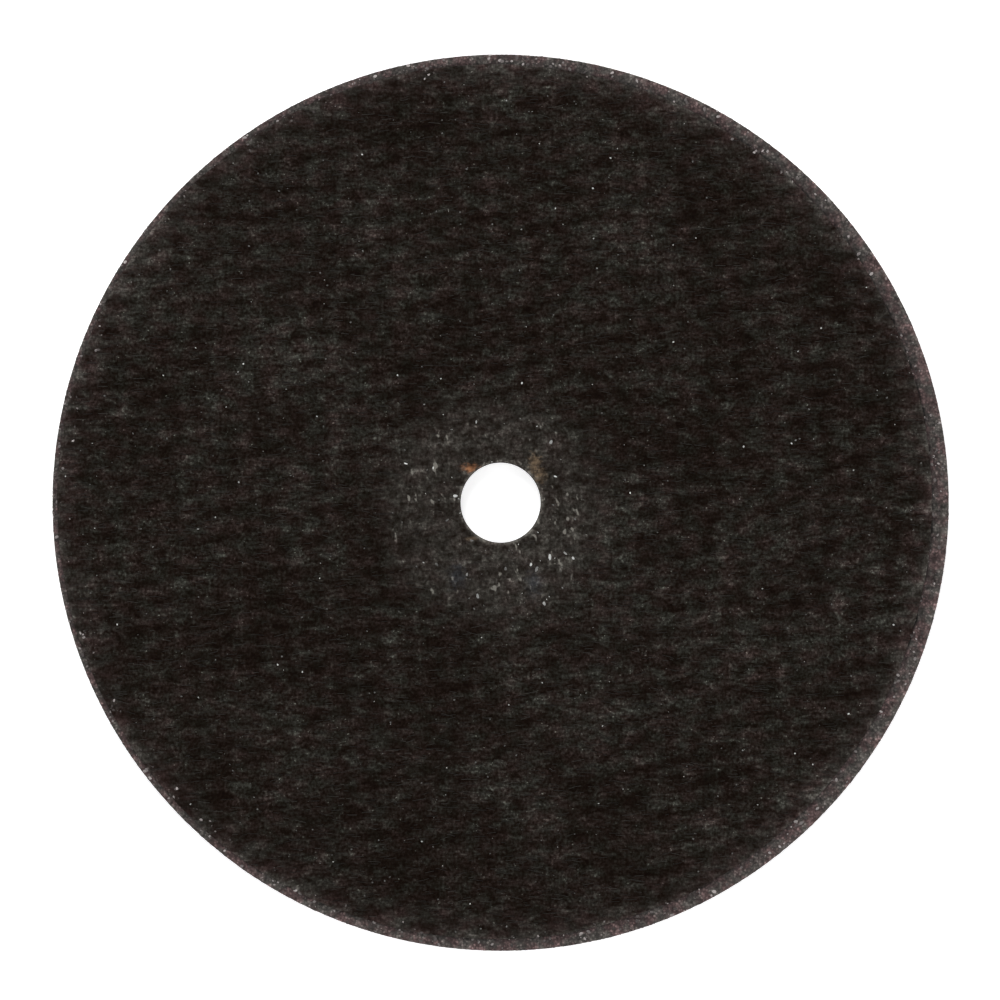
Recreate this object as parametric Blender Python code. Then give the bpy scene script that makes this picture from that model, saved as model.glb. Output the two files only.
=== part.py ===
"""Cut-off wheel: a thin flat abrasive disc, 7 in across, with a plain 5/8 in arbor hole.

The wheel is one solid. It was pressed and baked in a flat mould, from abrasive grain and resin
between woven glass-fibre meshes, under a thin black covering. It lies on its back face at Z = 0,
with its axis along +Z and its front face up. Lengths are in metres.
"""

import math

import bmesh
import bpy
from mathutils import Matrix, Vector

# Whole wheel
WHEEL_DIAMETER = 0.1778
WHEEL_THICKNESS = 0.0032
BORE_DIAMETER = 0.01588

# Covering, which stops short of the wheel's edge and was laid slightly off centre
RIM_WIDTH = 0.0020
RIM_DROP = 0.00030
COVER_OFFSET_X = -0.0011
COVER_OFFSET_Y = 0.0002

# Smooth round land at the bore, where the machine's flanges clamp the wheel
LAND_WIDTH = 0.0141
LAND_RISE = 0.00005
LAND_OFFSET_X = -0.0018
LAND_OFFSET_Y = -0.0018

# Woven mesh: upright yarns and crossing yarns, with a sunk window in each opening
UPRIGHT_PITCH = 0.00596
CROSSING_PITCH = 0.00585
UPRIGHT_LEAN = math.radians(1.55)
CROSSING_TILT = math.radians(-0.61)
MESH_SHIFT_X = -0.00046
MESH_SHIFT_Y = -0.00212
YARN_WIDTH = 0.0018
WINDOW_DEPTH = 0.00020

# Facets round each circle
RIM_SIDES = 144
COVER_SIDES = 120
LAND_SIDES = 60
BORE_SIDES = 48

SHARP_ANGLE = math.radians(20)

# Finish of the black covering
COVER_COLOUR = (0.0152, 0.0122, 0.0102, 1.0)
COVER_ROUGHNESS = 0.72


def clear_scene():
    for thing in list(bpy.data.objects):
        bpy.data.objects.remove(thing)


def black_covering():
    material = bpy.data.materials.new("black_covering")
    material.use_nodes = True
    shader = material.node_tree.nodes["Principled BSDF"]
    shader.inputs["Base Color"].default_value = COVER_COLOUR
    shader.inputs["Roughness"].default_value = COVER_ROUGHNESS
    shader.inputs["Metallic"].default_value = 0.0
    return material


def new_object(name, shape):
    """Turns a bmesh into an object and frees the bmesh."""
    mesh = bpy.data.meshes.new(name)
    shape.to_mesh(mesh)
    shape.free()
    thing = bpy.data.objects.new(name, mesh)
    bpy.context.scene.collection.objects.link(thing)
    return thing


def round_tool(name, diameter, low, high, sides, x=0.0, y=0.0):
    """A disc from Z = low to Z = high, which shapes the wheel and isn't part of it."""
    shape = bmesh.new()
    bmesh.ops.create_cone(
        shape,
        cap_ends=True,
        segments=sides,
        radius1=diameter / 2,
        radius2=diameter / 2,
        depth=high - low,
        matrix=Matrix.Translation((x, y, (low + high) / 2)),
    )
    tool = new_object(name, shape)
    tool.hide_render = True
    tool.display_type = "WIRE"
    return tool


def mesh_matrix(columns, rows):
    """Carries a grid from -1 to 1 each way onto the mesh's own leaning and tilted yarns."""
    across = Vector((math.cos(CROSSING_TILT), math.sin(CROSSING_TILT), 0.0))
    upwards = Vector((math.sin(UPRIGHT_LEAN), math.cos(UPRIGHT_LEAN), 0.0))
    across *= UPRIGHT_PITCH * columns / 2
    upwards *= CROSSING_PITCH * rows / 2
    matrix = Matrix.Identity(4)
    for axis in range(3):
        matrix[axis][0] = across[axis]
        matrix[axis][1] = upwards[axis]
    matrix[0][3] = MESH_SHIFT_X
    matrix[1][3] = MESH_SHIFT_Y
    return matrix


def even_count(pitch):
    """An even number of openings that reaches past the wheel on both sides."""
    shift = max(abs(MESH_SHIFT_X), abs(MESH_SHIFT_Y))
    return 2 * math.ceil((WHEEL_DIAMETER / 2 + shift) / pitch + 1)


def woven_slab():
    """A slab with a flat back and the mesh in its front: crests along the yarns, sunk openings."""
    columns = even_count(UPRIGHT_PITCH)
    rows = even_count(CROSSING_PITCH)
    crest = WHEEL_THICKNESS - LAND_RISE

    shape = bmesh.new()
    bmesh.ops.create_grid(
        shape,
        x_segments=columns,
        y_segments=rows,
        size=1.0,
        matrix=mesh_matrix(columns, rows),
    )
    bmesh.ops.translate(shape, vec=(0.0, 0.0, crest), verts=shape.verts)
    openings = list(shape.faces)

    outline = [edge for edge in shape.edges if edge.is_boundary]
    skirt = bmesh.ops.extrude_edge_only(shape, edges=outline)["geom"]
    lowered = [item for item in skirt if isinstance(item, bmesh.types.BMVert)]
    bmesh.ops.translate(shape, vec=(0.0, 0.0, -crest), verts=lowered)
    outline = [edge for edge in shape.edges if edge.is_boundary]
    bmesh.ops.holes_fill(shape, edges=outline)
    bmesh.ops.recalc_face_normals(shape, faces=shape.faces)

    bmesh.ops.inset_individual(
        shape, faces=openings, thickness=YARN_WIDTH / 2, depth=-WINDOW_DEPTH
    )
    return new_object("cutting_disc", shape)


def add_boolean(thing, operation, tool):
    step = thing.modifiers.new(tool.name, "BOOLEAN")
    step.operation = operation
    step.solver = "EXACT"
    step.object = tool


def shade_round(thing):
    """Applies the Booleans, then shades the round walls smooth and keeps the edges sharp."""
    bpy.context.view_layer.update()
    graph = bpy.context.evaluated_depsgraph_get()
    thing.data = bpy.data.meshes.new_from_object(thing.evaluated_get(graph))
    thing.modifiers.clear()
    thing.data.name = thing.name
    thing.data.shade_smooth()
    thing.data.set_sharp_from_angle(angle=SHARP_ANGLE)


def make_wheel():
    # The covering's outline and the bore run past both faces of the slab
    below = -WHEEL_THICKNESS
    above = 2 * WHEEL_THICKNESS

    cover = round_tool(
        "cover_outline",
        WHEEL_DIAMETER - 2 * RIM_WIDTH,
        below,
        above,
        COVER_SIDES,
        COVER_OFFSET_X,
        COVER_OFFSET_Y,
    )
    body = round_tool(
        "abrasive_body",
        WHEEL_DIAMETER,
        RIM_DROP,
        WHEEL_THICKNESS - RIM_DROP,
        RIM_SIDES,
    )
    land = round_tool(
        "clamping_land",
        BORE_DIAMETER + 2 * LAND_WIDTH,
        WHEEL_THICKNESS / 2,
        WHEEL_THICKNESS,
        LAND_SIDES,
        LAND_OFFSET_X,
        LAND_OFFSET_Y,
    )
    bore = round_tool("arbor_bore", BORE_DIAMETER, below, above, BORE_SIDES)

    wheel = woven_slab()
    add_boolean(wheel, "INTERSECT", cover)
    add_boolean(wheel, "UNION", body)
    add_boolean(wheel, "UNION", land)
    add_boolean(wheel, "DIFFERENCE", bore)
    shade_round(wheel)
    wheel.data.materials.clear()
    wheel.data.materials.append(black_covering())


clear_scene()
make_wheel()
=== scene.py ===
import math
from typing import NamedTuple

import bmesh
import bpy
from mathutils import Matrix, Vector, noise


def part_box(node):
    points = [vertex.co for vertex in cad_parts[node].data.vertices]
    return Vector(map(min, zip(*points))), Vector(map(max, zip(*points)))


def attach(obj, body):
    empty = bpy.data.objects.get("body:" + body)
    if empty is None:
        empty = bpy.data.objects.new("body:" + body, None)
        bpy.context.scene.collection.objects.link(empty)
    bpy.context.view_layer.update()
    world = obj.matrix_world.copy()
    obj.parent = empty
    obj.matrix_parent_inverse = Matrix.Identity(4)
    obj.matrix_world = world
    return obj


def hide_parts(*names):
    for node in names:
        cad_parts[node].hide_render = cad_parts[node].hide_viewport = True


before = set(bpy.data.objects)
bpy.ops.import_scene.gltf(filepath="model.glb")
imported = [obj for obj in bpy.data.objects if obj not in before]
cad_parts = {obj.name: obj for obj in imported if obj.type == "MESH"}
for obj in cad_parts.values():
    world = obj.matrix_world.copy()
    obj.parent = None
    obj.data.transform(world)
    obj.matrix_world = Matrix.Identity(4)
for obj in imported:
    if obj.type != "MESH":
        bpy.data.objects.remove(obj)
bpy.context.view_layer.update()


# The pressed body: abrasive grain and resin, baked hard in a flat mould. It is bare at the cut
# rim, a little below the coverings, and in the wall of the arbor hole, which is moulded smooth.
wheel_low, wheel_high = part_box("cutting_disc")
WHEEL_RADIUS = (wheel_high[0] - wheel_low[0]) / 2
THICKNESS = wheel_high[2] - wheel_low[2]
BORE_RADIUS = 0.00794
RIM_DROP = 0.00030
BAND_INNER_RADIUS = 0.0848
EDGE_ROUND = 0.00008
BODY_SEGMENTS = 1400
BAND_ROWS = 12
WALL_ROWS = 9
BORE_ROWS = 5
GRAIN_PITCH = 0.00045
GRAIN_RELIEF = 0.00011
WHEEL_CENTRE = (0.0, 0.0)

# Outline of the covering, which the rim's finish starts from
COVER_RADIUS = 0.0867
COVER_CENTRE = (-0.0012, 0.0002)

# Finish of the rim. Brightness runs as a power of a tone, and tone 0 is the usual brightness.
# The scale of a noise is how often it turns over in a metre.
RIM_MIDDLE = 0.0398
RIM_CONTRAST = 0.62
RIM_TONES = (-2.5, -1.5, -0.5, 0.5, 1.5, 3.0)
RIM_RUSTY = (1.12, 0.94, 0.98, 1.0)
RIM_GREYER = (0.91, 1.04, 1.02, 1.0)
RIM_CELL_SCALE = 2000.0
RIM_CRUMB_SCALE = 1800.0
RIM_BLOTCH_SCALE = 760.0
RIM_HUE_SCALE = 330.0
RIM_CELL_TONE = 1.7
RIM_CRUMB_TONE = 4.0
RIM_BLOTCH_TONE = 4.6
RIM_USUAL_TONE = -0.36
RIM_ROUGHNESS = (0.78, 0.50)
RIM_SHINE = 0.12
RIM_BUMP = 0.00012
# Painted shade beside the covering's raised edge, paler towards the outer edge
COVER_SHADE_START = 0.0862
COVER_SHADE_TONES = (-0.30, 0.65)

# The rim is paler towards one side, and a painted shadow shows beside the covering's edge on another
PALER_SIDE = (0.94, -0.34)
PALER_SIDE_TONE = 0.30
SHADOW_SIDE = (0.95, 0.30)
SHADOW_BREAK_SCALE = 160.0
SHADOW_START = 0.0001
SHADOW_END = 0.0006
SHADOW_TONES = (-0.5, -2.4)


class Value:
    """A number at every point of a node tree: its sums and products are Math nodes."""

    def __init__(self, tree, socket):
        self.tree = tree
        self.socket = socket

    def math(self, operation, *others):
        node = self.tree.nodes.new("ShaderNodeMath")
        node.operation = operation
        for slot, item in zip(node.inputs, (self, *others)):
            feed(self.tree, item, slot)
        return Value(self.tree, node.outputs[0])

    def __add__(self, other):
        return self.math("ADD", other)

    def __sub__(self, other):
        return self.math("SUBTRACT", other)

    def __rsub__(self, other):
        return self.math("MULTIPLY_ADD", -1.0, other)

    def __mul__(self, other):
        return self.math("MULTIPLY", other)

    def __truediv__(self, other):
        return self.math("DIVIDE", other)

    def __rtruediv__(self, other):
        return self.math("POWER", -1.0) * other

    __radd__ = __add__
    __rmul__ = __mul__

    def swing(self, strength):
        """A noise's usual 0.5 becomes 0, and its range is multiplied."""
        return (self - 0.5) * strength

    def step(self, start, end, low=0.0, high=1.0):
        """Goes smoothly from low at start to high at end."""
        node = self.tree.nodes.new("ShaderNodeMapRange")
        node.interpolation_type = "SMOOTHSTEP"
        for slot, item in zip(node.inputs, (self, start, end, low, high)):
            feed(self.tree, item, slot)
        return Value(self.tree, node.outputs[0])


def feed(tree, item, slot):
    """Links a Value or a socket into a slot, or writes a plain number there."""
    if isinstance(item, Value):
        tree.links.new(item.socket, slot)
    elif isinstance(item, bpy.types.NodeSocket):
        tree.links.new(item, slot)
    else:
        slot.default_value = item


def add_node(tree, kind, settings=None, **inputs):
    """A node with its settings and with its inputs fed by name."""
    node = tree.nodes.new(kind)
    for name, setting in (settings or {}).items():
        setattr(node, name, setting)
    for name, item in inputs.items():
        feed(tree, item, node.inputs[name.replace("_", " ")])
    return node


def parts_of(tree, vector):
    """The X, Y and Z of a vector as Values."""
    split = add_node(tree, "ShaderNodeSeparateXYZ")
    feed(tree, vector, split.inputs[0])
    return [Value(tree, output) for output in split.outputs]


def vector_of(tree, x, y, z):
    joined = add_node(tree, "ShaderNodeCombineXYZ")
    for slot, item in zip(joined.inputs, (x, y, z)):
        feed(tree, item, slot)
    return joined.outputs[0]


def stretched(tree, point, x_scale, y_scale, z_scale):
    """A point with each of its axes multiplied, so that a pattern on it becomes streaks."""
    node = add_node(tree, "ShaderNodeVectorMath", {"operation": "MULTIPLY"})
    feed(tree, point, node.inputs[0])
    node.inputs[1].default_value = (x_scale, y_scale, z_scale)
    return node.outputs[0]


def cloud(tree, point, scale, detail=4.0, roughness=0.55, distortion=0.0):
    """Soft noise from about 0.25 to 0.75."""
    node = add_node(
        tree, "ShaderNodeTexNoise", Scale=scale, Detail=detail,
        Roughness=roughness, Distortion=distortion,
    )
    feed(tree, point, node.inputs["Vector"])
    return Value(tree, node.outputs["Fac"])


def new_group(name, kind, inputs, outputs):
    """A node group with named sockets. It returns the group and its inputs as a dict."""
    group = bpy.data.node_groups.new(name, kind)
    for label, socket_kind, value in inputs:
        socket = group.interface.new_socket(label, in_out="INPUT", socket_type=socket_kind)
        if value is not None:
            socket.default_value = value
    for label, socket_kind in outputs:
        group.interface.new_socket(label, in_out="OUTPUT", socket_type=socket_kind)
    source = group.nodes.new("NodeGroupInput")
    given = {}
    for output in source.outputs[:-1]:
        given[output.name] = output
        if output.type in ("VALUE", "INT"):
            given[output.name] = Value(group, output)
    return group, given


def finish_group(group, **results):
    sink = group.nodes.new("NodeGroupOutput")
    for name, item in results.items():
        feed(group, item, sink.inputs[name.replace("_", " ")])


def place_group(tree, group, **inputs):
    node = tree.nodes.new("ShaderNodeGroup")
    node.node_tree = group
    for name, item in inputs.items():
        feed(tree, item, node.inputs[name.replace("_", " ")])
    return node


def new_material(name):
    """A material with its Principled shader, and the point on the piece that it reads."""
    material = bpy.data.materials.new(name)
    material.use_nodes = True
    tree = material.node_tree
    shader = tree.nodes["Principled BSDF"]
    point = add_node(tree, "ShaderNodeTexCoord").outputs["Object"]
    return material, tree, shader, point


def colour_ramp(tree, amount, stops):
    node = tree.nodes.new("ShaderNodeValToRGB")
    feed(tree, amount, node.inputs[0])
    ramp = node.color_ramp
    while len(ramp.elements) < len(stops):
        ramp.elements.new(1.0)
    for element, (place, colour) in zip(ramp.elements, stops):
        element.position = place
        element.color = colour
    return node.outputs["Color"]


def mix_colour(tree, amount, first, second, blend="MIX"):
    node = add_node(tree, "ShaderNodeMix", {"data_type": "RGBA", "blend_type": blend})
    feed(tree, amount, node.inputs[0])
    feed(tree, first, node.inputs[6])
    feed(tree, second, node.inputs[7])
    return node.outputs[2]


def add_bump(tree, shader, height, distance, strength):
    node = add_node(tree, "ShaderNodeBump", Strength=strength, Distance=distance)
    feed(tree, height, node.inputs["Height"])
    tree.links.new(node.outputs["Normal"], shader.inputs["Normal"])


def new_piece(name, mesh, material=None):
    piece = bpy.data.objects.new(name, mesh)
    bpy.context.scene.collection.objects.link(piece)
    if material:
        mesh.materials.append(material)
    return piece


def settle(piece):
    """The piece rides on the wheel's one body."""
    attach(piece, "root")
    return piece


def body_profile():
    """Radius, height and which way the grain sinks, from the bore's top down and round to it."""
    bottom = RIM_DROP
    top = THICKNESS - RIM_DROP
    wall_low = bottom + EDGE_ROUND
    wall_high = top - EDGE_ROUND
    band_width = WHEEL_RADIUS - EDGE_ROUND - BAND_INNER_RADIUS
    band = [BAND_INNER_RADIUS + band_width * step / BAND_ROWS for step in range(BAND_ROWS + 1)]
    rows = []
    for step in range(BORE_ROWS + 1):
        rows.append((BORE_RADIUS, top - (top - bottom) * step / BORE_ROWS, (0, 0)))
    rows += [(radius, bottom, (0, 1)) for radius in band]
    for step in range(WALL_ROWS + 1):
        rows.append((WHEEL_RADIUS, wall_low + (wall_high - wall_low) * step / WALL_ROWS, (-1, 0)))
    rows += [(radius, top, (0, -1)) for radius in reversed(band)]
    return rows


def grain_height(point):
    """0 on a grain's crown and 1 in the resin between grains."""
    nearest = noise.voronoi(point / GRAIN_PITCH)[0][0]
    fine = noise.noise(point / (GRAIN_PITCH * 0.45))
    return min(1.0, max(0.0, nearest * 0.8 + fine * 0.35))


def turned_body():
    """The closed round body, with grain worked into the rim and the bands beside it."""
    shape = bmesh.new()
    rings = []
    for radius, height, inward in body_profile():
        ring = []
        for index in range(BODY_SEGMENTS):
            angle = math.tau * index / BODY_SEGMENTS
            point = Vector((radius * math.cos(angle), radius * math.sin(angle), height))
            sunk = GRAIN_RELIEF * grain_height(point) if any(inward) else 0.0
            reach = radius + inward[0] * sunk
            ring.append(shape.verts.new((
                reach * math.cos(angle), reach * math.sin(angle), height + inward[1] * sunk,
            )))
        rings.append(ring)
    for row, ring in enumerate(rings):
        following = rings[(row + 1) % len(rings)]
        for index in range(BODY_SEGMENTS):
            beside = (index + 1) % BODY_SEGMENTS
            shape.faces.new((ring[index], following[index], following[beside], ring[beside]))
    bmesh.ops.recalc_face_normals(shape, faces=shape.faces)
    mesh = bpy.data.meshes.new("abrasive_body")
    shape.to_mesh(mesh)
    shape.free()
    mesh.shade_smooth()
    return mesh


def tone_ramp(tree, tone, tones, colour_at):
    """A colour ramp over a tone, with the colour of each listed tone worked out by a function."""
    lowest, highest = tones[0], tones[-1]
    stops = [((step - lowest) / (highest - lowest), colour_at(step)) for step in tones]
    return colour_ramp(tree, (tone - lowest) / (highest - lowest), stops)


def rim_colour(tone):
    """Purplish-brown grain and resin, paler as the tone rises."""
    level = RIM_MIDDLE * math.exp(RIM_CONTRAST * tone)
    return (1.26 * level, level, 0.93 * level, 1.0)


def length_from(tree, point, centre):
    """A point's offsets from a centre line, and how far it is from it."""
    x, y, _ = parts_of(tree, point)
    x, y = x - centre[0], y - centre[1]
    return x, y, (x * x + y * y).math("SQRT")


def cover_edge_shadow(tree, point, x, y, far):
    """Painted shadow: a broken dark line along the covering's edge, as a tone."""
    _, _, cover_far = length_from(tree, point, COVER_CENTRE)
    line = cover_far.step(COVER_RADIUS + SHADOW_START, COVER_RADIUS + SHADOW_END, 1.0, 0.0)
    broken = cloud(tree, point, SHADOW_BREAK_SCALE, 3.0, 0.7).step(0.50, 0.62, *SHADOW_TONES)
    side = ((x * SHADOW_SIDE[0] + y * SHADOW_SIDE[1]) / far).step(0.50, 0.90, 0.25, 1.0)
    return line * broken * side


def bonded_abrasive():
    """Grains set in resin, with painted shade beside the covering that grows paler towards the outer
    edge.
    """
    material, tree, shader, point = new_material("grain_and_resin")
    cells = add_node(
        tree, "ShaderNodeTexVoronoi", {"feature": "F1"}, Scale=RIM_CELL_SCALE, Randomness=1.0
    )
    feed(tree, point, cells.inputs["Vector"])
    near = Value(tree, cells.outputs["Distance"])
    shade = parts_of(tree, cells.outputs["Color"])[0]
    grain = near.step(0.30, 0.75, 1.0, 0.0) * shade
    crumb = cloud(tree, point, RIM_CRUMB_SCALE, 3.0, 0.65)
    blotch = cloud(tree, point, RIM_BLOTCH_SCALE, 3.0)
    tone = grain * RIM_CELL_TONE + crumb.swing(RIM_CRUMB_TONE) + blotch.swing(RIM_BLOTCH_TONE)

    x, y, far = length_from(tree, point, WHEEL_CENTRE)
    # Painted shade beside the covering, rising to paler at the outer edge
    cover_shade = far.step(COVER_SHADE_START, WHEEL_RADIUS, *COVER_SHADE_TONES)
    # Paler towards one side of the wheel
    paler_side = (x * PALER_SIDE[0] + y * PALER_SIDE[1]) / far * PALER_SIDE_TONE
    tone = tone + RIM_USUAL_TONE + cover_shade + cover_edge_shadow(tree, point, x, y, far) + paler_side

    hue = cloud(tree, point, RIM_HUE_SCALE, 2.0).step(0.38, 0.62)
    hue = mix_colour(tree, hue, RIM_RUSTY, RIM_GREYER)
    base = tone_ramp(tree, tone, RIM_TONES, rim_colour)
    base = mix_colour(tree, 1.0, base, hue, "MULTIPLY")
    feed(tree, base, shader.inputs["Base Color"])
    feed(tree, crumb.step(0.3, 0.7, *RIM_ROUGHNESS), shader.inputs["Roughness"])
    shader.inputs["Specular IOR Level"].default_value = RIM_SHINE
    add_bump(tree, shader, grain + crumb * 0.6, RIM_BUMP, 0.8)
    return material


abrasive = bonded_abrasive()
body = settle(new_piece("abrasive_body", turned_body(), abrasive))


# The front covering: black fibrous skin pressed over woven glass mesh, one sheet with the mesh
# printed through it. Upright yarns are flat, and each crossing pair twists about them. The sheet
# was laid a little off centre, and round the arbor hole the press left it smooth and worn.
COVER_WAVER = 0.0010
COVER_WAVES = 4.0
SHEET_MARGIN = 0.004
BORE_LIP = 0.00010
COVER_SKIRT = 0.00034

UPRIGHT_PITCH = 0.00596
CROSSING_PITCH = 0.00585
UPRIGHT_LEAN = math.radians(1.55)
CROSSING_TILT = math.radians(-0.61)
MESH_SHIFT = (-0.00046, -0.00212)
LINES_PER_OPENING = 11
LINE_CROWDING = 0.34
UPRIGHT_HALF_WIDTH = 0.00092
STRAND_HALF_WIDTH = 0.00046
STRAND_SWING = 0.00047

WINDOW_LEVEL = THICKNESS - 0.00024
UPRIGHT_RISE = 0.00008
STRAND_RISE = 0.00007
SECOND_RISE = 0.00005
FLEECE_RISE = 0.00005
LAND_LEVEL = THICKNESS - 0.00005
LAND_SINK = 0.00001
LAND_CENTRE = (-0.0018, -0.0019)
LAND_RADIUS = 0.0220
LAND_SOFTNESS = 0.0050
LAND_WAVER = 0.006
LAND_WAVER_SCALE = 260.0
LAND_MESH_SHARE = 0.25

# The second mesh lies deeper and turned. Its yarns cross each axis this often in a metre.
SECOND_ONE = (47.4, -196.0)
SECOND_ONE_PHASE = 0.288
SECOND_TWO = (-211.1, -56.9)
SECOND_TWO_PHASE = 0.345
SECOND_HALF_WIDTH = 0.24


class Pattern(NamedTuple):
    """A noise drawn out across or up the wheel, and how strongly it tells in a tone or a height."""

    across: float
    up: float
    detail: float
    roughness: float = 0.6
    distortion: float = 0.0
    tone: float = 1.0


FLEECE_STREAKS = Pattern(500.0, 1500.0, detail=3.0)


def pattern_at(tree, point, pattern):
    """The noise of a pattern at a point."""
    drawn = stretched(tree, point, pattern.across, pattern.up, 1.0)
    return cloud(tree, drawn, 1.0, pattern.detail, pattern.roughness, pattern.distortion)


def distance_to_whole(value):
    """How far a number is from the nearest whole number, from 0 to 0.5."""
    return ((value + 0.5).math("FRACT") - 0.5).math("ABSOLUTE")


def hump(distance, half_width):
    """1 at no distance, falling roundly to 0 at the half width."""
    return distance.step(0.0, half_width, 1.0, 0.0)


def mesh_lattice(tree, point):
    """The yarns' own numbering at a point: whole across at each upright, whole up at each pair."""
    x, y, _ = parts_of(tree, point)
    x = x - MESH_SHIFT[0]
    y = y - MESH_SHIFT[1]
    spread = math.cos(UPRIGHT_LEAN + CROSSING_TILT)
    across = (x * math.cos(UPRIGHT_LEAN) - y * math.sin(UPRIGHT_LEAN)) / (UPRIGHT_PITCH * spread)
    up = (y * math.cos(CROSSING_TILT) - x * math.sin(CROSSING_TILT)) / (CROSSING_PITCH * spread)
    return across, up


def mesh_forms(tree, point):
    """Each yarn's hump at a point: upright, strand over it, strand under it, and second mesh."""
    across, up = mesh_lattice(tree, point)
    upright = hump(distance_to_whole(across) * UPRIGHT_PITCH, UPRIGHT_HALF_WIDTH)
    swing = (across * math.pi).math("COSINE") * STRAND_SWING
    aside = ((up + 0.5).math("FRACT") - 0.5) * CROSSING_PITCH
    over = hump((aside + swing).math("ABSOLUTE"), STRAND_HALF_WIDTH)
    under = hump((aside - swing).math("ABSOLUTE"), STRAND_HALF_WIDTH) * (1.0 - upright)
    one, two = second_mesh(tree, point, SECOND_HALF_WIDTH)
    return upright, over, under, one, two


def second_mesh(tree, point, half_width):
    """The humps of the deeper mesh's two sets of yarns. The width is a share of their spacing."""
    x, y, _ = parts_of(tree, point)
    one = distance_to_whole(x * SECOND_ONE[0] + y * SECOND_ONE[1] + SECOND_ONE_PHASE)
    two = distance_to_whole(x * SECOND_TWO[0] + y * SECOND_TWO[1] + SECOND_TWO_PHASE)
    return hump(one, half_width), hump(two, half_width)


def land_mask(tree, point):
    """1 on the worn land round the arbor hole, fading unevenly to 0 at its edge."""
    _, _, far = length_from(tree, point, LAND_CENTRE)
    far = far + cloud(tree, point, LAND_WAVER_SCALE, 3.0).swing(LAND_WAVER)
    return far.step(LAND_RADIUS - LAND_SOFTNESS, LAND_RADIUS + LAND_SOFTNESS, 1.0, 0.0)


def skin_height(tree, point):
    """Height of the covering's face over the floor of the wheel."""
    upright, over, under, one, two = mesh_forms(tree, point)
    strands = over.math("MAXIMUM", under * 0.8)
    woven = upright * UPRIGHT_RISE + strands * STRAND_RISE
    woven = woven + one * SECOND_RISE + two * (SECOND_RISE * 0.5)
    woven = woven + pattern_at(tree, point, FLEECE_STREAKS).swing(FLEECE_RISE) + WINDOW_LEVEL
    pressed = woven * LAND_MESH_SHARE + (LAND_LEVEL * (1.0 - LAND_MESH_SHARE) - LAND_SINK)
    return woven + (pressed - woven) * land_mask(tree, point)


def position(group):
    """Where each point of a geometry is."""
    return add_node(group, "GeometryNodeInputPosition").outputs[0]


def placed(group, geometry, x, y, z, **choice):
    """Moves each point of a geometry to x, y and z."""
    node = add_node(
        group, "GeometryNodeSetPosition", Geometry=geometry, Position=vector_of(group, x, y, z),
        **choice,
    )
    return node.outputs[0]


def sheet_edge(group, radius, x, y, far):
    """The sheet's radius in the direction of a point, which wavers a little."""
    around = vector_of(group, x / far * COVER_WAVES, y / far * COVER_WAVES, 0.0)
    return radius + cloud(group, around, 1.0, 4.0, 0.6).swing(COVER_WAVER)


def finish_tree(group, geometry, material, smooth):
    """Ends a geometry tree: plain mesh, shaded and with its material."""
    whole = add_node(group, "GeometryNodeRealizeInstances", Geometry=geometry)
    shaded = add_node(
        group, "GeometryNodeSetShadeSmooth", Geometry=whole.outputs[0], Shade_Smooth=smooth
    )
    faced = add_node(
        group, "GeometryNodeSetMaterial", Geometry=shaded.outputs[0], Material=material
    )
    finish_group(group, Geometry=faced.outputs[0])


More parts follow.
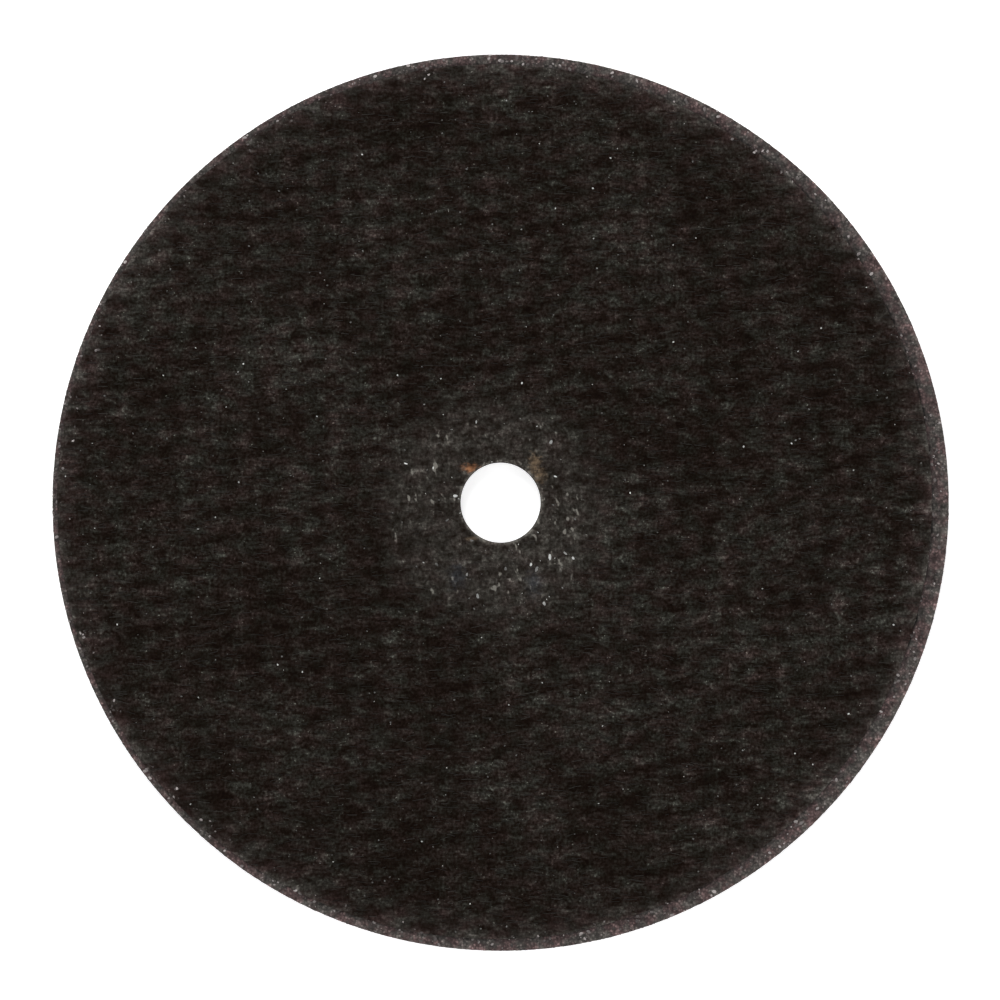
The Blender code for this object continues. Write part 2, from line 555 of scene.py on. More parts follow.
def woven_skin(material):
    """A grid laid along the yarns, trimmed to the round sheet, raised over the yarns and hemmed."""
    group, given = new_group(
        "woven_skin",
        "GeometryNodeTree",
        [
            ("Columns", "NodeSocketInt", 32),
            ("Rows", "NodeSocketInt", 32),
            ("Sheet Radius", "NodeSocketFloat", COVER_RADIUS),
            ("Hole Radius", "NodeSocketFloat", BORE_RADIUS),
            ("Skirt", "NodeSocketFloat", COVER_SKIRT),
            ("Crowding", "NodeSocketFloat", LINE_CROWDING),
        ],
        [("Geometry", "NodeSocketGeometry")],
    )
    columns, rows = given["Columns"], given["Rows"]
    grid = add_node(
        group, "GeometryNodeMeshGrid", Size_X=columns, Size_Y=rows,
        Vertices_X=columns * LINES_PER_OPENING + 1, Vertices_Y=rows * LINES_PER_OPENING + 1,
    )
    across, up, _ = parts_of(group, position(group))
    crowd = given["Crowding"] / math.tau
    across = across - (across * math.tau).math("SINE") * crowd
    up = up - (up * math.tau).math("SINE") * crowd
    x = across * (UPRIGHT_PITCH * math.cos(CROSSING_TILT))
    x = x + up * (CROSSING_PITCH * math.sin(UPRIGHT_LEAN)) + MESH_SHIFT[0]
    y = across * (UPRIGHT_PITCH * math.sin(CROSSING_TILT))
    y = y + up * (CROSSING_PITCH * math.cos(UPRIGHT_LEAN)) + MESH_SHIFT[1]
    laid = placed(group, grid.outputs["Mesh"], x, y, 0.0)

    # Faces with a corner past the sheet's edge or inside the hole go
    radius, hole = given["Sheet Radius"], given["Hole Radius"]
    x, y, far = length_from(group, position(group), COVER_CENTRE)
    outside = far.math("GREATER_THAN", sheet_edge(group, radius, x, y, far))
    _, _, near = length_from(group, position(group), WHEEL_CENTRE)
    spare = add_node(group, "GeometryNodeFieldOnDomain", {"data_type": "BOOLEAN", "domain": "POINT"})
    feed(group, outside.math("MAXIMUM", near.math("LESS_THAN", hole)), spare.inputs[0])
    trimmed = add_node(
        group, "GeometryNodeDeleteGeometry", {"domain": "FACE"},
        Geometry=laid, Selection=spare.outputs[0],
    )

    # What is left is drawn in to the sheet's edge and out to the hole
    x, y, far = length_from(group, position(group), COVER_CENTRE)
    shrink = (sheet_edge(group, radius, x, y, far) / far).math("MINIMUM", 1.0)
    x = x * shrink + COVER_CENTRE[0]
    y = y * shrink + COVER_CENTRE[1]
    rounded = placed(group, trimmed.outputs[0], x, y, 0.0)
    x, y, near = length_from(group, position(group), WHEEL_CENTRE)
    grow = (hole / near).math("MAXIMUM", 1.0)
    holed = placed(group, rounded, x * grow, y * grow, 0.0)

    x, y, _ = parts_of(group, position(group))
    raised = placed(group, holed, x, y, skin_height(group, position(group)))

    neighbours = add_node(group, "GeometryNodeInputMeshEdgeNeighbors")
    rim_edge = Value(group, neighbours.outputs["Face Count"]).math("COMPARE", 1.0, 0.1)
    hemmed = add_node(
        group, "GeometryNodeExtrudeMesh", {"mode": "EDGES"}, Mesh=raised,
        Selection=rim_edge, Offset=vector_of(group, 0.0, 0.0, -1.0), Offset_Scale=given["Skirt"],
    )
    finish_tree(group, hemmed.outputs[0], material, smooth=True)
    return group


def grown(name, group, carrier, **sizes):
    """Runs a Geometry Nodes tree on a copy of the carrier mesh and keeps the result as a mesh."""
    holder = bpy.data.objects.new(name, carrier or bpy.data.meshes.new(name))
    bpy.context.scene.collection.objects.link(holder)
    step = holder.modifiers.new(name, "NODES")
    step.node_group = group
    for item in group.interface.items_tree:
        key = item.name.replace(" ", "_")
        if item.in_out == "INPUT" and key in sizes:
            step[item.identifier] = sizes[key]
    bpy.context.view_layer.update()
    graph = bpy.context.evaluated_depsgraph_get()
    mesh = bpy.data.meshes.new_from_object(holder.evaluated_get(graph))
    mesh.name = name
    holder.modifiers.clear()
    bpy.data.objects.remove(holder)
    for index in range(len(mesh.materials) - 1, -1, -1):
        if mesh.materials[index] is None:
            mesh.materials.pop(index=index)
    return mesh


# Finish of the sheet, whose brightness runs as a power of a tone as the rim's does
SKIN_MIDDLE = 0.0082
SKIN_CONTRAST = 0.66
SKIN_TONES = (-3.0, -2.0, -1.0, 0.0, 1.0, 2.0, 3.0, 4.5)
SKIN_WARMTH = 0.0019
SKIN_COOLNESS = 0.0012
SKIN_DARKEST_BLUE = 0.0004
SKIN_ROUGHNESS = (0.82, 0.60)
SKIN_SHINE = 0.05
SKIN_BUMP = 0.00004
RUST_TINT = (1.15, 0.90, 0.93, 1.0)
MOSS_TINT = (0.92, 1.06, 1.01, 1.0)
LAND_TINT = (0.99, 0.985, 0.985, 1.0)
EDGE_TINT = (1.08, 0.97, 1.02, 1.0)

# Fibrous skin, from its finest crumb to its slow drift across the wheel
CRUMB = Pattern(1900.0, 1500.0, detail=2.0, tone=7.2)
STREAK = Pattern(800.0, 1350.0, detail=3.0, distortion=0.4, tone=4.8)
THREAD = Pattern(430.0, 2000.0, detail=3.0, distortion=0.3, tone=3.0)
BRIGHT_DOT = Pattern(2000.0, 2300.0, detail=1.0, roughness=0.55, tone=4.2)
CLUMP = Pattern(260.0, 540.0, detail=4.0, roughness=0.58, distortion=0.5, tone=6.6)
HUE = Pattern(230.0, 310.0, detail=2.0, roughness=0.5)
HUE_BY_TONE = 0.045
BROAD_SCALE = 60.0
BROAD_TONE = 4.2
DRIFT_SCALE = 19.0
DRIFT_TONE = 1.6
FINE_USUAL_TONE = -0.04
STREAK_RELIEF = 9.0

# Painted shade and light of the yarns under the skin, with half widths as shares of their spacing
BETWEEN_HALF_WIDTH = 0.30
BETWEEN_TONE = 0.34
CROSSING_HALF_WIDTH = 0.32
CROSSING_TONE = -0.40
SECOND_SHADE_HALF_WIDTH = 0.42
SECOND_TONES = (-0.66, -0.28)
SECOND_BREAK_SCALE = 230.0
MESH_USUAL_TONE = 0.40

# Wear of the land round the hole, with its painted glints and a painted pale ring at the hole's edge
WORN_CRUMB = Pattern(1600.0, 1300.0, detail=2.0, tone=3.8)
WORN_BLOTCH = Pattern(640.0, 560.0, detail=3.0, tone=5.6)
# Painted glints in upright streaks
GLINT_STREAK = Pattern(800.0, 420.0, detail=2.0, roughness=0.5, tone=5.6)
GLINT_LEAN = math.radians(-16)
GLINT_PATCH_SCALE = 210.0
# Painted pale ring of light round the hole's edge
HOLE_LIGHT_WIDTH = 0.0010
HOLE_LIGHT_TONE = 2.2
WORN_MESH_SHARE = 0.52
WORN_TONE = 1.38
LAND_HUE_LOSS = 0.6

# Wear of the sheet's edge, which pales over a wide band and frays over a narrow one
EDGE_SCATTER_SCALE = 500.0
EDGE_SCATTER = 0.004
PALE_START = 0.0790
PALE_END = 0.0885
PALE_TONE = 1.5
PALE_CLUMP_SHARE = 0.30
PALE_CALM = 0.4
FRAY_START = 0.0857
FRAY_END = 0.0869
FRAY_TONE = 0.85

# Stains at the hole: place, half width and half height, colour and strength
BORE_RUST = (0.3000, 0.1350, 0.0640, 1.0)
BORE_TAN = (0.1850, 0.1300, 0.0820, 1.0)
BLUE_GREY = (0.0380, 0.0430, 0.0520, 1.0)
BORE_STAINS = [
    (-0.0061, 0.0069, 0.0018, 0.0010, BORE_RUST, 0.85),
    (0.0068, 0.0077, 0.0014, 0.0026, BORE_TAN, 0.75),
    (0.0079, 0.0054, 0.0013, 0.0018, BORE_TAN, 0.60),
    (-0.0058, -0.0071, 0.0016, 0.0006, BORE_TAN, 0.40),
    (-0.0086, -0.0146, 0.0020, 0.0032, BLUE_GREY, 0.50),
    (0.0066, -0.0160, 0.0020, 0.0032, BLUE_GREY, 0.45),
]
STAIN_RAGGEDNESS = Pattern(900.0, 1300.0, detail=3.0, roughness=0.7, tone=2.6)
STAIN_USUAL_SPECK = 0.50
STAIN_DARKEST_SPECK = 0.25
STAIN_SPECK_BY_TONE = 0.30


def fleece_group():
    """Fibrous streaks that run across the sheet, in clumps, and where it turns rusty or mossy."""
    group, given = new_group(
        "fleece",
        "ShaderNodeTree",
        [("Point", "NodeSocketVector", None)],
        [(name, "NodeSocketFloat") for name in ("Fine", "Clump", "Hue", "Relief")],
    )
    point = given["Point"]
    layers = (CRUMB, STREAK, THREAD, BRIGHT_DOT, CLUMP, HUE)
    crumb, streak, thread, dots, clump, hue = [pattern_at(group, point, item) for item in layers]
    broad = cloud(group, point, BROAD_SCALE, 3.0, 0.55)
    drift = cloud(group, point, DRIFT_SCALE, 1.0)
    bright = dots.step(0.66, 0.78) * clump.step(0.42, 0.62, 0.25, 1.0)
    fine = crumb.swing(CRUMB.tone) + streak.swing(STREAK.tone) + thread.swing(THREAD.tone)
    fine = fine + bright * BRIGHT_DOT.tone + FINE_USUAL_TONE
    tone = clump.swing(CLUMP.tone) + broad.swing(BROAD_TONE) + drift.swing(DRIFT_TONE)
    finish_group(group, Fine=fine, Clump=tone, Hue=hue, Relief=streak.swing(STREAK_RELIEF))
    return group


def mesh_shade_group():
    """Painted shade of the yarns under the sheet: wide dark bands, with painted lighter lines between
    uprights.
    """
    group, given = new_group(
        "mesh_shade",
        "ShaderNodeTree",
        [("Point", "NodeSocketVector", None)],
        [("Shade", "NodeSocketFloat")],
    )
    across, up = mesh_lattice(group, given["Point"])
    between = hump(0.5 - distance_to_whole(across), BETWEEN_HALF_WIDTH)
    crossing = hump(distance_to_whole(up), CROSSING_HALF_WIDTH)
    one, two = second_mesh(group, given["Point"], SECOND_SHADE_HALF_WIDTH)
    broken = cloud(group, given["Point"], SECOND_BREAK_SCALE, 2.0).step(0.30, 0.70, 0.2, 1.8)
    deeper = (one * SECOND_TONES[0] + two * SECOND_TONES[1]) * broken
    shade = between * BETWEEN_TONE + crossing * CROSSING_TONE + deeper + MESH_USUAL_TONE
    finish_group(group, Shade=shade)
    return group


def wear_and_light_group():
    """Where the sheet is worn round the arbor hole, its speckle, painted upright glints there, and a
    painted pale ring at the hole's edge.
    """
    group, given = new_group(
        "bore_wear",
        "ShaderNodeTree",
        [("Point", "NodeSocketVector", None), ("Lean", "NodeSocketFloat", GLINT_LEAN)],
        [("Land", "NodeSocketFloat"), ("Speckle", "NodeSocketFloat")],
    )
    point = given["Point"]
    land = land_mask(group, point)
    crumb = pattern_at(group, point, WORN_CRUMB).swing(WORN_CRUMB.tone)
    blotch = pattern_at(group, point, WORN_BLOTCH).swing(WORN_BLOTCH.tone)
    spin = add_node(group, "ShaderNodeMapping", Rotation=vector_of(group, 0.0, 0.0, given["Lean"]))
    feed(group, point, spin.inputs["Vector"])
    # Painted glints: upright streaks of light in patches over the land
    glint_streaks = pattern_at(group, spin.outputs[0], GLINT_STREAK).step(0.58, 0.76)
    patch = cloud(group, point, GLINT_PATCH_SCALE, 2.0).step(0.48, 0.60)
    glint = glint_streaks * patch * land * GLINT_STREAK.tone
    # Painted light: a pale ring round the hole's edge
    _, _, near = length_from(group, point, WHEEL_CENTRE)
    hole_light = near.step(BORE_RADIUS, BORE_RADIUS + HOLE_LIGHT_WIDTH, HOLE_LIGHT_TONE, 0.0)
    finish_group(group, Land=land, Speckle=crumb + blotch + glint + hole_light)
    return group


fleece = fleece_group()
mesh_shade = mesh_shade_group()
bore_wear = wear_and_light_group()


def skin_colour(tone):
    """The covering's colour at a tone: near brown where it is dark, greyer where it is pale."""
    level = SKIN_MIDDLE * math.exp(SKIN_CONTRAST * tone)
    blue = max(0.90 * level - SKIN_COOLNESS, SKIN_DARKEST_BLUE)
    return (1.10 * level + SKIN_WARMTH, level, blue, 1.0)


def stained(tree, point, worn_and_lit, field):
    """The sheet's colour with the ragged stains at the hole, which take the worn land's speckle and
    its painted glints.
    """
    speck = worn_and_lit * STAIN_SPECK_BY_TONE + STAIN_USUAL_SPECK
    speck = speck.math("MAXIMUM", STAIN_DARKEST_SPECK)
    grey = vector_of(tree, speck, speck, speck)
    ragged = pattern_at(tree, point, STAIN_RAGGEDNESS).swing(STAIN_RAGGEDNESS.tone)
    x, y, _ = parts_of(tree, point)
    for x_at, y_at, wide, tall, colour, strength in BORE_STAINS:
        aside, along = (x - x_at) / wide, (y - y_at) / tall
        far = (aside * aside + along * along).math("SQRT") + ragged
        speckled = mix_colour(tree, 1.0, colour, grey, "MULTIPLY")
        field = mix_colour(tree, far.step(-0.10, 1.20, strength, 0.0), field, speckled)
    return field


def covering_material(name, turned):
    """Black fibrous skin. The back's is turned over with its sheet, and has no stains."""
    material, tree, shader, point = new_material(name)
    if turned:
        flip = add_node(tree, "ShaderNodeMapping", Rotation=(math.pi, 0.0, 0.0))
        feed(tree, point, flip.inputs["Vector"])
        point = flip.outputs[0]
    streaks = place_group(tree, fleece, Point=point).outputs
    yarns = place_group(tree, mesh_shade, Point=point).outputs
    wear_and_light = place_group(tree, bore_wear, Point=point).outputs
    fine, clump = Value(tree, streaks["Fine"]), Value(tree, streaks["Clump"])
    land = Value(tree, wear_and_light["Land"])

    tone = fine + clump + Value(tree, yarns["Shade"])
    # The land's speckle carries its painted glints and the painted light at the hole's edge
    worn_and_lit = tone * WORN_MESH_SHARE + Value(tree, wear_and_light["Speckle"]) + WORN_TONE
    tone = tone + (worn_and_lit - tone) * land

    _, _, far = length_from(tree, point, COVER_CENTRE)
    far = far + cloud(tree, point, EDGE_SCATTER_SCALE, 3.0).swing(EDGE_SCATTER)
    edge = far.step(PALE_START, PALE_END)
    pale = clump * PALE_CLUMP_SHARE + PALE_TONE
    frayed = far.step(FRAY_START, FRAY_END, 0.0, FRAY_TONE)
    tone = tone * (1.0 - edge * PALE_CALM) + edge * pale + frayed

    field = tone_ramp(tree, tone, SKIN_TONES, skin_colour)
    hue = (Value(tree, streaks["Hue"]) + tone * HUE_BY_TONE).step(0.30, 0.72)
    hue = mix_colour(tree, hue, RUST_TINT, MOSS_TINT)
    field = mix_colour(tree, 1.0 - land * LAND_HUE_LOSS, field, hue, "MULTIPLY")
    field = mix_colour(tree, land, field, LAND_TINT, "MULTIPLY")
    field = mix_colour(tree, edge, field, EDGE_TINT, "MULTIPLY")
    if not turned:
        field = stained(tree, point, worn_and_lit, field)
    feed(tree, field, shader.inputs["Base Color"])
    feed(tree, fine.step(-1.5, 1.5, *SKIN_ROUGHNESS), shader.inputs["Roughness"])
    shader.inputs["Specular IOR Level"].default_value = SKIN_SHINE
    add_bump(tree, shader, Value(tree, streaks["Relief"]), SKIN_BUMP, 0.6)
    return material


front_skin = covering_material("front_covering", False)
skin_tree = woven_skin(front_skin)
openings = 2 * math.ceil((COVER_RADIUS + SHEET_MARGIN) / CROSSING_PITCH)
front_mesh = grown(
    "front_covering", skin_tree, None, Columns=openings, Rows=openings,
    Sheet_Radius=COVER_RADIUS, Hole_Radius=BORE_RADIUS + BORE_LIP, Skirt=COVER_SKIRT,
    Crowding=LINE_CROWDING,
)
front = settle(new_piece("front_covering", front_mesh))
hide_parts("cutting_disc")


# Fibres that have worked loose from the black sheet: short, nearly straight threads. They lie
# mostly across it, pressed flat into its face, and few are left on the worn land.
FIBRE_DENSITY = 380000.0
FIBRE_SHORTEST = 0.0007
FIBRE_LONGEST = 0.0026
FIBRE_TURN = math.radians(10)
FIBRE_RADIUS = 0.000060
FIBRE_POINTS = 4
FIBRE_LIFT = 0.000015
FIBRE_WANDER = 0.0003
FIBRE_WANDER_SCALES = (310.0, 270.0)
FIBRE_CLUMPS = Pattern(190.0, 430.0, detail=4.0, distortion=0.6)
LAND_BARENESS = 0.85
ABOVE_WHEEL = 2.0 * THICKNESS
FIBRE_DIM = (0.0110, 0.0090, 0.0070, 1.0)
FIBRE_PALE = (0.0360, 0.0330, 0.0290, 1.0)
RIPPLE_SCALE = 2600.0
RIPPLE_SHARE = 0.3


def random_number(group, low, high, seed):
    """A random Value between low and high for each point."""
    node = add_node(group, "FunctionNodeRandomValue", {"data_type": "FLOAT"})
    feed(group, low, node.inputs[2])
    feed(group, high, node.inputs[3])
    feed(group, seed, node.inputs["Seed"])
    return Value(group, node.outputs[1])


def marked(group, geometry, domain, value):
    """Stores how bright each copy is, for its material to read."""
    node = add_node(
        group, "GeometryNodeStoreNamedAttribute", {"data_type": "FLOAT", "domain": domain},
        Geometry=geometry, Name="bright",
    )
    feed(group, value, node.inputs["Value"])
    return node.outputs[0]


def laid_fibres(material):
    """Fibres scattered over a sheet, each bent a little and laid down on it."""
    group, given = new_group(
        "laid_fibres",
        "GeometryNodeTree",
        [
            ("Sheet", "NodeSocketGeometry", None),
            ("Density", "NodeSocketFloat", FIBRE_DENSITY),
            ("Shortest", "NodeSocketFloat", FIBRE_SHORTEST),
            ("Longest", "NodeSocketFloat", FIBRE_LONGEST),
            ("Turn", "NodeSocketFloat", FIBRE_TURN),
            ("Radius", "NodeSocketFloat", FIBRE_RADIUS),
            ("Seed", "NodeSocketInt", 11),
        ],
        [("Geometry", "NodeSocketGeometry")],
    )
    sheet, seed = given["Sheet"], given["Seed"]
    here = position(group)
    clump = pattern_at(group, here, FIBRE_CLUMPS)
    crowded = clump.step(0.40, 0.62, 0.25, 1.0) * (1.0 - land_mask(group, here) * LAND_BARENESS)
    spots = add_node(
        group, "GeometryNodeDistributePointsOnFaces", Mesh=sheet,
        Density=given["Density"] * crowded, Seed=seed,
    )
    line = add_node(
        group, "GeometryNodeCurvePrimitiveLine", Start=(-0.5, 0.0, 0.0), End=(0.5, 0.0, 0.0)
    )
    fibre = add_node(
        group, "GeometryNodeResampleCurve", Curve=line.outputs[0], Count=FIBRE_POINTS
    )
    turn = random_number(group, given["Turn"] * -1.0, given["Turn"], seed + 1)
    turn = turn + random_number(group, given["Turn"] * -1.0, given["Turn"], seed + 2)
    spin = add_node(group, "FunctionNodeEulerToRotation", Euler=vector_of(group, 0.0, 0.0, turn))
    share = random_number(group, 0.0, 1.0, seed + 3)
    length = given["Shortest"] + (given["Longest"] - given["Shortest"]) * (share * share)
    copies = add_node(
        group, "GeometryNodeInstanceOnPoints", Points=spots.outputs["Points"],
        Instance=fibre.outputs[0], Rotation=spin.outputs[0],
        Scale=vector_of(group, length, 1.0, 1.0),
    )
    share = random_number(group, 0.0, 1.0, seed + 4)
    bright = marked(group, copies.outputs[0], "INSTANCE", share * share)
    loose = add_node(group, "GeometryNodeRealizeInstances", Geometry=bright)
    x, y, _ = parts_of(group, here)
    x = x + cloud(group, here, FIBRE_WANDER_SCALES[0], 2.0).swing(FIBRE_WANDER)
    y = y + cloud(group, here, FIBRE_WANDER_SCALES[1], 2.0).swing(2.0 * FIBRE_WANDER)
    swayed = placed(group, loose.outputs[0], x, y, ABOVE_WHEEL)
    down = add_node(
        group, "GeometryNodeRaycast", Target_Geometry=sheet,
        Ray_Direction=vector_of(group, 0.0, 0.0, -1.0), Ray_Length=ABOVE_WHEEL + THICKNESS,
    )
    x, y, z = parts_of(group, down.outputs["Hit Position"])
    height = (z + FIBRE_LIFT).math("MINIMUM", THICKNESS - FIBRE_RADIUS)
    dropped = placed(group, swayed, x, y, height, Selection=down.outputs["Is Hit"])
    _, _, level = parts_of(group, position(group))
    landed = add_node(
        group, "GeometryNodeDeleteGeometry", {"domain": "POINT"}, Geometry=dropped,
        Selection=level.math("GREATER_THAN", 1.5 * THICKNESS),
    )
    outline = add_node(
        group, "GeometryNodeCurvePrimitiveCircle", Resolution=3, Radius=given["Radius"]
    )
    tubes = add_node(
        group, "GeometryNodeCurveToMesh", Curve=landed.outputs[0],
        Profile_Curve=outline.outputs[0], Fill_Caps=True,
    )
    finish_tree(group, tubes.outputs[0], material, smooth=True)
    return group


def brightness_material(name, dim, pale, roughness, specular):
    """A finish that runs from dim to pale with each copy's own brightness."""
    material, tree, shader, point = new_material(name)
    mark = add_node(tree, "ShaderNodeAttribute", {"attribute_name": "bright"})
    ripple = cloud(tree, point, RIPPLE_SCALE, 2.0)
    amount = Value(tree, mark.outputs["Fac"]) + ripple.swing(RIPPLE_SHARE)
    feed(tree, mix_colour(tree, amount, dim, pale), shader.inputs["Base Color"])
    feed(tree, ripple.step(0.3, 0.7, roughness, roughness + 0.15), shader.inputs["Roughness"])
    shader.inputs["Specular IOR Level"].default_value = specular
    return material


fibre_finish = brightness_material("covering_fibre", FIBRE_DIM, FIBRE_PALE, 0.6, 0.2)
fibre_tree = laid_fibres(fibre_finish)
fibre_mesh = grown("front_fibres", fibre_tree, front_mesh.copy(), Density=FIBRE_DENSITY)
settle(new_piece("front_fibres", fibre_mesh))


# Grains of abrasive that have broken through the covering, glints of bare glass and grain in the
# worn land at the arbor hole, and grit along the bare rim. Each is a small faceted crystal.
# The grains' pale colour is partly painted glint
GRAIN_DIM = (0.0700, 0.0680, 0.0640, 1.0)
GRAIN_PALE = (0.7500, 0.7600, 0.7400, 1.0)
GRIT_DIM = (0.0400, 0.0320, 0.0300, 1.0)
GRIT_PALE = (0.4200, 0.3800, 0.3700, 1.0)
GRAIN_CLUMP_SCALE = 300.0
GRAIN_TIP = 0.5


def scattered_grains(name, material):
    """Faceted crystals on the part of a surface that lies in a ring about a centre."""
    group, given = new_group(
        name,
        "GeometryNodeTree",
        [
            ("Surface", "NodeSocketGeometry", None),
            ("Density", "NodeSocketFloat", 10000.0),
            ("Centre X", "NodeSocketFloat", 0.0),
            ("Centre Y", "NodeSocketFloat", 0.0),
            ("Inner Radius", "NodeSocketFloat", 0.0),
            ("Outer Radius", "NodeSocketFloat", 0.1),
            ("Smallest", "NodeSocketFloat", 0.0001),
            ("Largest", "NodeSocketFloat", 0.0003),
            ("Length", "NodeSocketFloat", 1.0),
            ("Flatness", "NodeSocketFloat", 0.4),
            ("Angle", "NodeSocketFloat", 0.0),
            ("Angle Spread", "NodeSocketFloat", math.pi),
            ("Rarity", "NodeSocketFloat", 2.0),
            ("Clumping", "NodeSocketFloat", 0.5),
            ("Seed", "NodeSocketInt", 5),
        ],
        [("Geometry", "NodeSocketGeometry")],
    )
    seed = given["Seed"]
    here = position(group)
    _, _, reach = length_from(group, here, (given["Centre X"], given["Centre Y"]))
    ring = reach.math("GREATER_THAN", given["Inner Radius"])
    ring = ring * reach.math("LESS_THAN", given["Outer Radius"])
    clump = cloud(group, here, GRAIN_CLUMP_SCALE, 2.0)
    crowded = clump.step(0.40, 0.60, 1.0 - given["Clumping"], 1.0)
    spots = add_node(
        group, "GeometryNodeDistributePointsOnFaces", Mesh=given["Surface"],
        Selection=ring, Density=given["Density"] * crowded, Seed=seed,
    )
    crystal = add_node(group, "GeometryNodeMeshIcoSphere", Radius=1.0, Subdivisions=1)
    swing = random_number(group, given["Angle Spread"] * -1.0, given["Angle Spread"], seed + 1)
    tip = random_number(group, -GRAIN_TIP, GRAIN_TIP, seed + 2)
    lean = random_number(group, -GRAIN_TIP, GRAIN_TIP, seed + 3)
    about = add_node(
        group, "FunctionNodeEulerToRotation", Euler=vector_of(group, tip, lean, given["Angle"] + swing)
    )
    turned = add_node(
        group, "FunctionNodeRotateRotation", {"rotation_space": "LOCAL"},
        Rotation=spots.outputs["Rotation"], Rotate_By=about.outputs[0],
    )
    share = random_number(group, 0.0, 1.0, seed + 4)
    size = given["Smallest"] + (given["Largest"] - given["Smallest"]) * (share * share)
    copies = add_node(
        group, "GeometryNodeInstanceOnPoints", Points=spots.outputs["Points"],
        Instance=crystal.outputs["Mesh"], Rotation=turned.outputs[0],
        Scale=vector_of(group, size * given["Length"], size, size * given["Flatness"]),
    )
    share = random_number(group, 0.0, 1.0, seed + 5).math("POWER", given["Rarity"])
    bright = marked(group, copies.outputs[0], "INSTANCE", share)
    loose = add_node(group, "GeometryNodeRealizeInstances", Geometry=bright)
    x, y, z = parts_of(group, position(group))
    reach = (x * x + y * y).math("SQRT")
    moved = (WHEEL_RADIUS / reach).math("MINIMUM", 1.0)
    moved = moved.math("MAXIMUM", (BORE_RADIUS + BORE_LIP) / reach)
    level = z.math("MINIMUM", THICKNESS).math("MAXIMUM", 0.0)
    kept = placed(group, loose.outputs[0], x * moved, y * moved, level)
    finish_tree(group, kept, material, smooth=False)
    return group


grain_finish = brightness_material("bright_grain", GRAIN_DIM, GRAIN_PALE, 0.25, 0.5)
grit_finish = brightness_material("rim_grit", GRIT_DIM, GRIT_PALE, 0.45, 0.25)
grain_tree = scattered_grains("broken_through_grains", grain_finish)
grit_tree = scattered_grains("rim_grit", grit_finish)

field_grains = grown(
    "field_grains", grain_tree, front_mesh.copy(), Density=36000.0, Inner_Radius=0.020,
    Outer_Radius=0.0860, Smallest=0.00007, Largest=0.00021, Length=1.3, Flatness=0.35,
    Angle_Spread=math.pi, Rarity=7.5, Seed=21,
)
settle(new_piece("field_grains", field_grains))
land_glints = grown(
    "land_glints", grain_tree, front_mesh.copy(), Density=90000.0, Centre_X=LAND_CENTRE[0],
    Centre_Y=LAND_CENTRE[1], Inner_Radius=0.0, Outer_Radius=0.0215, Smallest=0.00008,
    Largest=0.00034, Length=2.1, Flatness=0.3, Angle=math.radians(106),
    Angle_Spread=math.radians(26), Rarity=2.6, Clumping=0.97, Seed=37,
)
settle(new_piece("land_glints", land_glints))
rim_grit = grown(
    "rim_grit", grit_tree, body.data.copy(), Density=1100000.0, Inner_Radius=0.0852,
    Outer_Radius=0.1, Smallest=0.00009, Largest=0.00038, Length=1.5, Flatness=0.5,
    Angle_Spread=math.pi, Rarity=4.0, Clumping=0.85, Seed=45,
)
settle(new_piece("rim_grit", rim_grit))


# The back covering: the same fibrous sheet over the same mesh, pressed on in the same mould and
# turned over. Its fibres and grains are those of the front, without stains or land glints.
TURN_OVER = Matrix.Translation((0.0, 0.0, THICKNESS)) @ Matrix.Rotation(math.pi, 4, "X")
back_skin = covering_material("back_covering", True)


def turned_over(mesh, name, material):
    copy = mesh.copy()
    copy.name = name
    copy.transform(TURN_OVER)
    copy.materials.clear()
    copy.materials.append(material)
    return copy


for mesh, name, finish in (
    (front_mesh, "back_covering", back_skin),
    (fibre_mesh, "back_fibres", fibre_finish),
    (field_grains, "back_grains", grain_finish),
):
    settle(new_piece(name, turned_over(mesh, name, finish)))


# Floor, light and camera: a pale lit sweep such as small goods are photographed on, soft light
# mostly from the picture's top, and a long lens looking straight down on the wheel.
SWEEP_PROFILE = [(1.2, 0.0), (1.7, 0.12), (2.0, 0.5), (2.1, 1.2)]
SWEEP_SIDES = 64
FLOOR_PALE = (0.88, 0.88, 0.88, 1.0)
FLOOR_SHADE = (0.84, 0.84, 0.84, 1.0)
FLOOR_SHADE_SCALE = 3.0
FLOOR_ROUGHNESS = 0.9
FLOOR_GLOW = 0.60
WORLD_COLOUR = (0.95, 0.97, 1.0, 1.0)
WORLD_STRENGTH = 0.10
PICTURE_SIDE = 1000.0
WHEEL_PIXELS = 448.6
WHEEL_PIXEL_X = 500.6
WHEEL_PIXEL_Y = 502.7
LENS = 150.0
SENSOR = 36.0

# Each light's name, azimuth and elevation, distance, side and power
STUDIO_LIGHTS = [
    ("top_light", -15.0, 38.0, 1.4, 0.7, 11.0),
    ("left_light", -105.0, 40.0, 1.5, 0.8, 4.5),
    ("right_light", 105.0, 40.0, 1.5, 0.8, 4.5),
    ("low_light", 180.0, 40.0, 1.5, 0.8, 3.5),
]


def sweep():
    """A round floor that curves up all round, as a sweep of card does behind small goods."""
    shape = bmesh.new()
    for reach, height in SWEEP_PROFILE:
        bmesh.ops.create_circle(
            shape, segments=SWEEP_SIDES, radius=reach,
            matrix=Matrix.Translation((0.0, 0.0, height)),
        )
    bmesh.ops.bridge_loops(shape, edges=shape.edges)
    inner = [edge for edge in shape.edges if edge.is_boundary and edge.verts[0].co.z == 0.0]
    bmesh.ops.contextual_create(shape, geom=inner)
    bmesh.ops.recalc_face_normals(shape, faces=shape.faces)
    mesh = bpy.data.meshes.new("floor")
    shape.to_mesh(mesh)
    shape.free()
    mesh.shade_smooth()
    return mesh


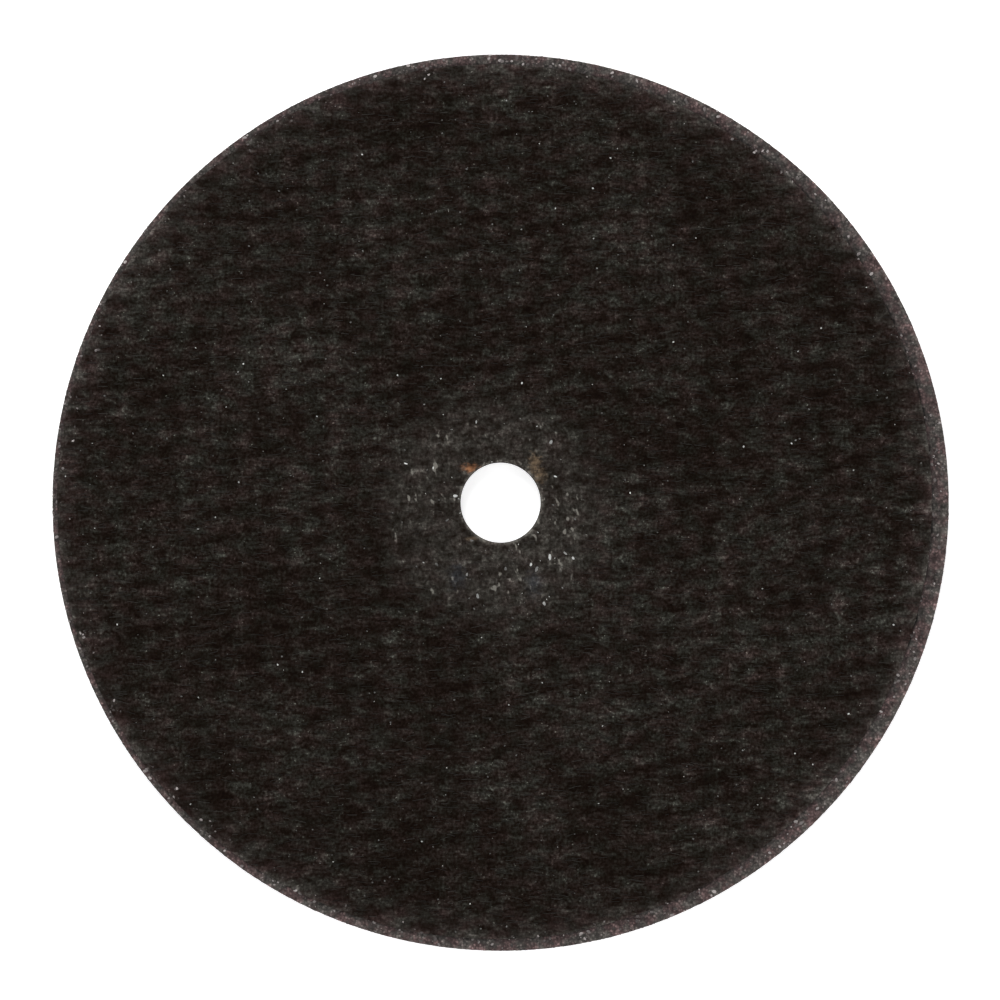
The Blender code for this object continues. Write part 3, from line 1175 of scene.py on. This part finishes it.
def pale_floor():
    """Matt white card that glows a little, as it does when it is lit through."""
    material, tree, shader, point = new_material("pale_floor")
    shade = cloud(tree, point, FLOOR_SHADE_SCALE, 2.0)
    feed(tree, mix_colour(tree, shade, FLOOR_PALE, FLOOR_SHADE), shader.inputs["Base Color"])
    shader.inputs["Roughness"].default_value = FLOOR_ROUGHNESS
    shader.inputs["Emission Color"].default_value = (1.0, 1.0, 1.0, 1.0)
    shader.inputs["Emission Strength"].default_value = FLOOR_GLOW
    return material


def studio_air():
    """The faint light that comes from all round."""
    world = bpy.data.worlds.new("studio")
    world.use_nodes = True
    background = world.node_tree.nodes["Background"]
    background.inputs["Color"].default_value = WORLD_COLOUR
    background.inputs["Strength"].default_value = WORLD_STRENGTH
    return world


def soft_light(name, azimuth, elevation, distance, side, power):
    """A square softbox that faces the wheel. Azimuth 0 stands at the picture's top."""
    lamp = bpy.data.lights.new(name, "AREA")
    lamp.shape = "SQUARE"
    lamp.size = side
    lamp.energy = power
    stand = bpy.data.objects.new(name, lamp)
    bpy.context.scene.collection.objects.link(stand)
    around, over = math.radians(azimuth), math.radians(elevation)
    direction = Vector((
        math.sin(around) * math.cos(over), math.cos(around) * math.cos(over), math.sin(over),
    ))
    stand.location = direction * distance
    stand.rotation_mode = "QUATERNION"
    stand.rotation_quaternion = direction.to_track_quat("Z", "Y")


def overhead_camera():
    """A long lens over the wheel, placed so that the wheel stands in the picture as measured."""
    metres_per_pixel = WHEEL_RADIUS / WHEEL_PIXELS
    lens = bpy.data.cameras.new("camera")
    lens.lens = LENS
    lens.sensor_width = SENSOR
    lens.clip_start = 0.01
    lens.clip_end = 20.0
    camera = bpy.data.objects.new("camera", lens)
    bpy.context.scene.collection.objects.link(camera)
    camera.location = (
        (PICTURE_SIDE / 2 - WHEEL_PIXEL_X) * metres_per_pixel,
        (WHEEL_PIXEL_Y - PICTURE_SIDE / 2) * metres_per_pixel,
        THICKNESS + metres_per_pixel * PICTURE_SIDE * LENS / SENSOR,
    )
    return camera


floor = new_piece("floor", sweep(), pale_floor())
for light in STUDIO_LIGHTS:
    soft_light(*light)
bpy.context.scene.world = studio_air()
bpy.context.scene.camera = overhead_camera()
bpy.context.scene.view_settings.view_transform = "Standard"
